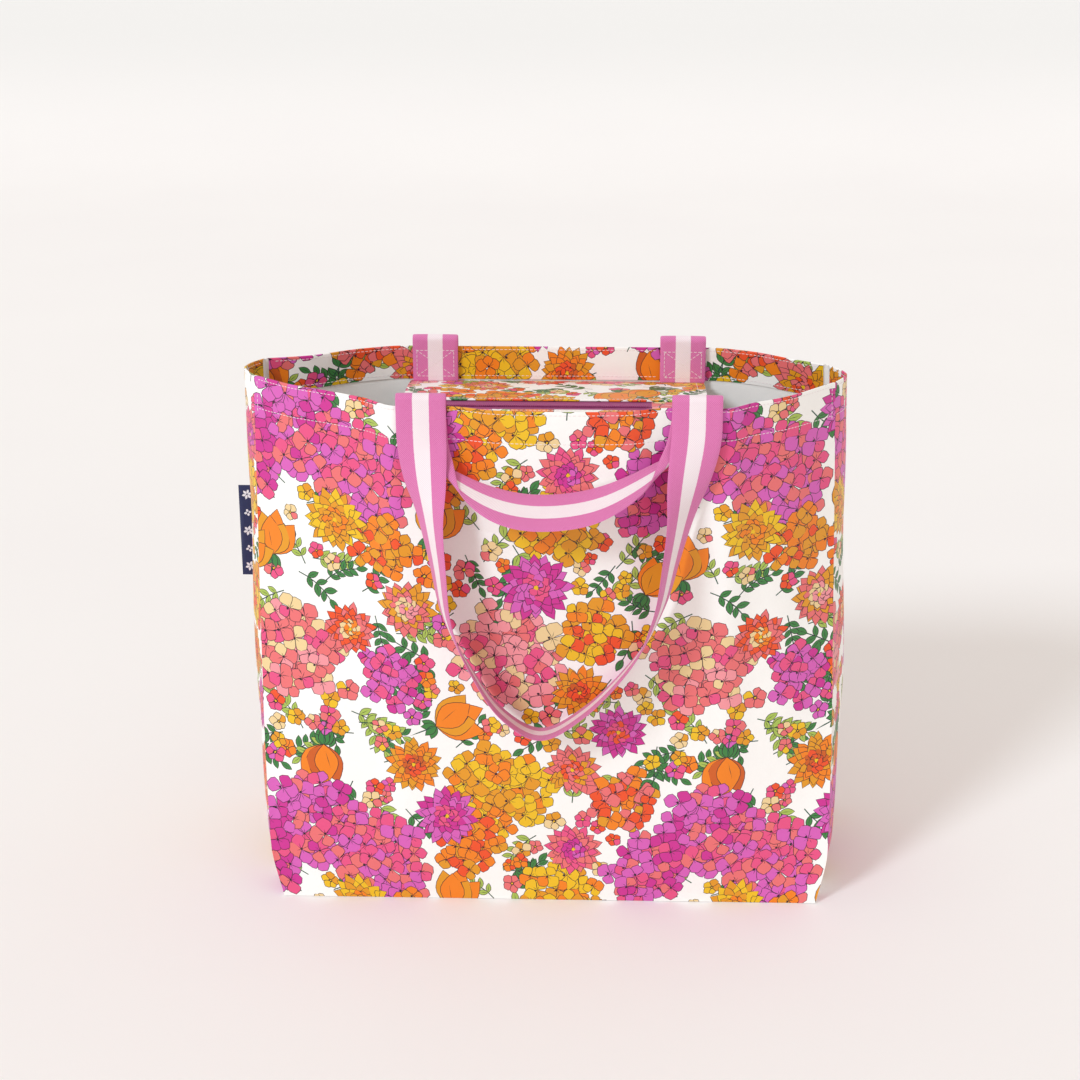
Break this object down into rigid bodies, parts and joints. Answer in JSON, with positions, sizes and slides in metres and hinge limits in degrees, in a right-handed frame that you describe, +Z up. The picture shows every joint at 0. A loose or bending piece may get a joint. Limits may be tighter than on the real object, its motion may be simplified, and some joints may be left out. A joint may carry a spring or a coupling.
{
  "type": "foldable tote bag",
  "caption": "Printed tote bag with a flat base, creased side gussets, a recessed zip panel and long and short striped webbing handles.",
  "frame": {"origin": "middle of the base on the floor", "axes": "+X to the right of someone facing the front wall, which faces -Y; +Z up to the mouth"},
  "size_m": [0.474, 0.2715, 0.3992],
  "materials": {
    "printed_cloth": "smooth laminated cotton, floral print outside and plain white inside",
    "white_binding": "matte woven tape",
    "zip_tape": "matte woven tape",
    "zip_coil": "satin nylon",
    "zip_metal": "satin enamel",
    "striped_webbing": "twill webbing in three stripes",
    "thread": "soft twisted thread",
    "woven_label": "satin woven label"
  },
  "bodies": {
    "bag_body": {"back_panel": "printed_cloth", "base_panel": "printed_cloth", "gusset_left": "printed_cloth", "gusset_right": "printed_cloth", "hem_back": "printed_cloth", "hem_left": "printed_cloth", "hem_right": "printed_cloth", "seam_binding_back_left": "white_binding", "seam_binding_back_right": "white_binding", "zip_flap_front": "printed_cloth", "zip_flap_back": "printed_cloth", "zip_tape_front": "zip_tape", "zip_tape_back": "zip_tape", "zip_coil_front": "zip_coil", "zip_coil_back": "zip_coil", "zip_end_tab_left": "printed_cloth", "zip_end_tab_right": "printed_cloth", "zip_stops": "zip_metal", "strap_ends_long_back": "striped_webbing", "strap_ends_short_back": "striped_webbing", "box_stitch_back": "thread", "side_label": "woven_label"},
    "front_wall": {"front_panel": "printed_cloth", "hem_front": "printed_cloth", "seam_binding_front_left": "white_binding", "seam_binding_front_right": "white_binding", "strap_ends_long_front": "striped_webbing", "strap_ends_short_front": "striped_webbing", "box_stitch_front": "thread"},
    "slider": {"zip_slider": "zip_metal"},
    "puller": {"zip_puller": "zip_metal"},
    "front_long_loop": {"long_handle_front": "striped_webbing"},
    "front_short_loop": {"short_handle_front": "striped_webbing"},
    "back_long_loop": {"long_handle_back": "striped_webbing"},
    "back_short_loop": {"short_handle_back": "striped_webbing"}
  },
  "joints": [
    {"name": "front_wall_lean", "type": "hinge", "parent": "bag_body", "child": "front_wall", "pos_m": [0, -0.09, 0.0005], "axis": [-1, 0, 0], "range_deg": [-1, 6], "deforming": ["gusset_left", "gusset_right", "hem_left", "hem_right", "zip_flap_front"]},
    {"name": "zip_slide", "type": "slide", "parent": "bag_body", "child": "slider", "axis": [1, 0, 0], "range_m": [0, 0.155]},
    {"name": "puller_flip", "type": "hinge", "parent": "slider", "child": "puller", "pos_m": [-0.094, -0.008, 0.371], "axis": [0, 1, 0], "range_deg": [0, 170]},
    {"name": "front_handles_swing", "type": "hinge", "parent": "front_wall", "child": "front_long_loop", "pos_m": [0, -0.09475, 0.3946], "axis": [-1, 0, 0], "range_deg": [0, 170]},
    {"name": "front_short_follow", "type": "hinge", "parent": "front_wall", "child": "front_short_loop", "pos_m": [0, -0.09475, 0.3946], "axis": [-1, 0, 0], "range_deg": [0, 170]},
    {"name": "back_handles_swing", "type": "hinge", "parent": "bag_body", "child": "back_long_loop", "pos_m": [0, 0.07875, 0.3946], "axis": [1, 0, 0], "range_deg": [0, 170]},
    {"name": "back_short_follow", "type": "hinge", "parent": "bag_body", "child": "back_short_loop", "pos_m": [0, 0.07875, 0.3946], "axis": [1, 0, 0], "range_deg": [0, 170]}
  ],
  "couplings": [
    {"joint": "front_short_follow", "follows": "front_handles_swing", "ratio": 1},
    {"joint": "back_short_follow", "follows": "back_handles_swing", "ratio": 1}
  ]
}
